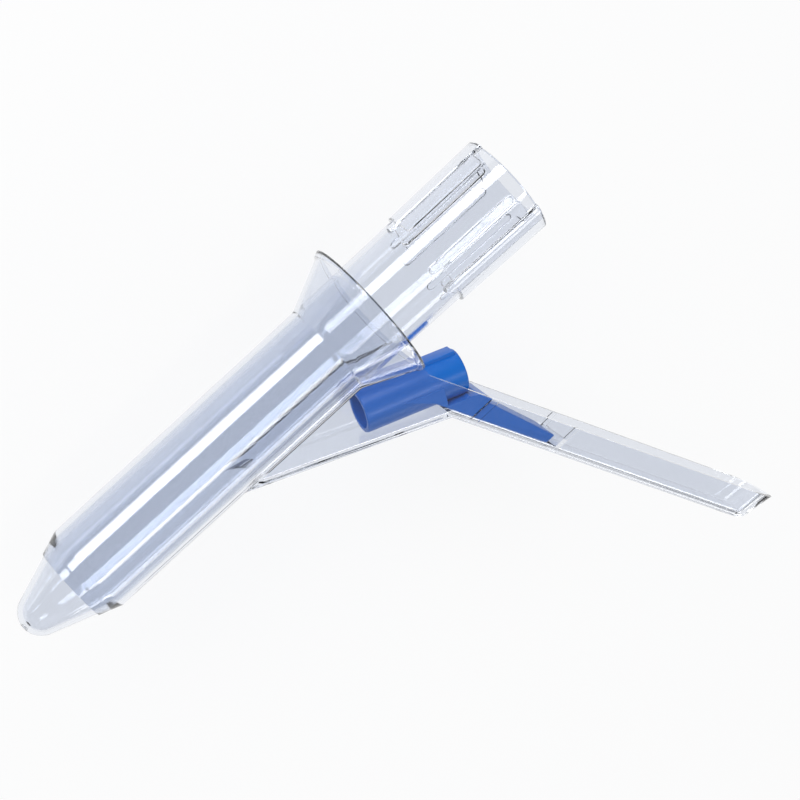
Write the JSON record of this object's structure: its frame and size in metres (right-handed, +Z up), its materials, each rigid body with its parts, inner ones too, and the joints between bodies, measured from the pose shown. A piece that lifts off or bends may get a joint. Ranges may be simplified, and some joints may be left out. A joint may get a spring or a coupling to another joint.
{
  "type": "proctoscope",
  "caption": "Clear moulded proctoscope with a tapered tube, flared mouth, leaning channel handle, hollow obturator and a blue clip-in light holder.",
  "frame": {"origin": "centre of the box's underside, on the table that the scope lies on, on its side", "axes": "+X along the barrel from the obturator's nose to its grip, -Y towards the handle's end, +Z up from the table"},
  "size_m": [0.1482, 0.1278, 0.0349],
  "materials": {
    "clear_sheath": "clear polystyrene, polished",
    "clear_obturator": "clear polystyrene, polished",
    "blue_holder": "moulded, satin"
  },
  "bodies": {
    "sheath": {"sheath": "clear_sheath"},
    "obturator": {"obturator": "clear_obturator"},
    "light_holder": {"light_holder": "blue_holder"}
  },
  "joints": [
    {"name": "obturator_slide", "type": "slide", "parent": "sheath", "child": "obturator", "axis": [1, 0, 0], "range_m": [0, 0.11]},
    {"name": "light_holder_slide", "type": "slide", "parent": "sheath", "child": "light_holder", "axis": [0.9205, -0.3907, 0], "range_m": [0, 0.035]}
  ]
}
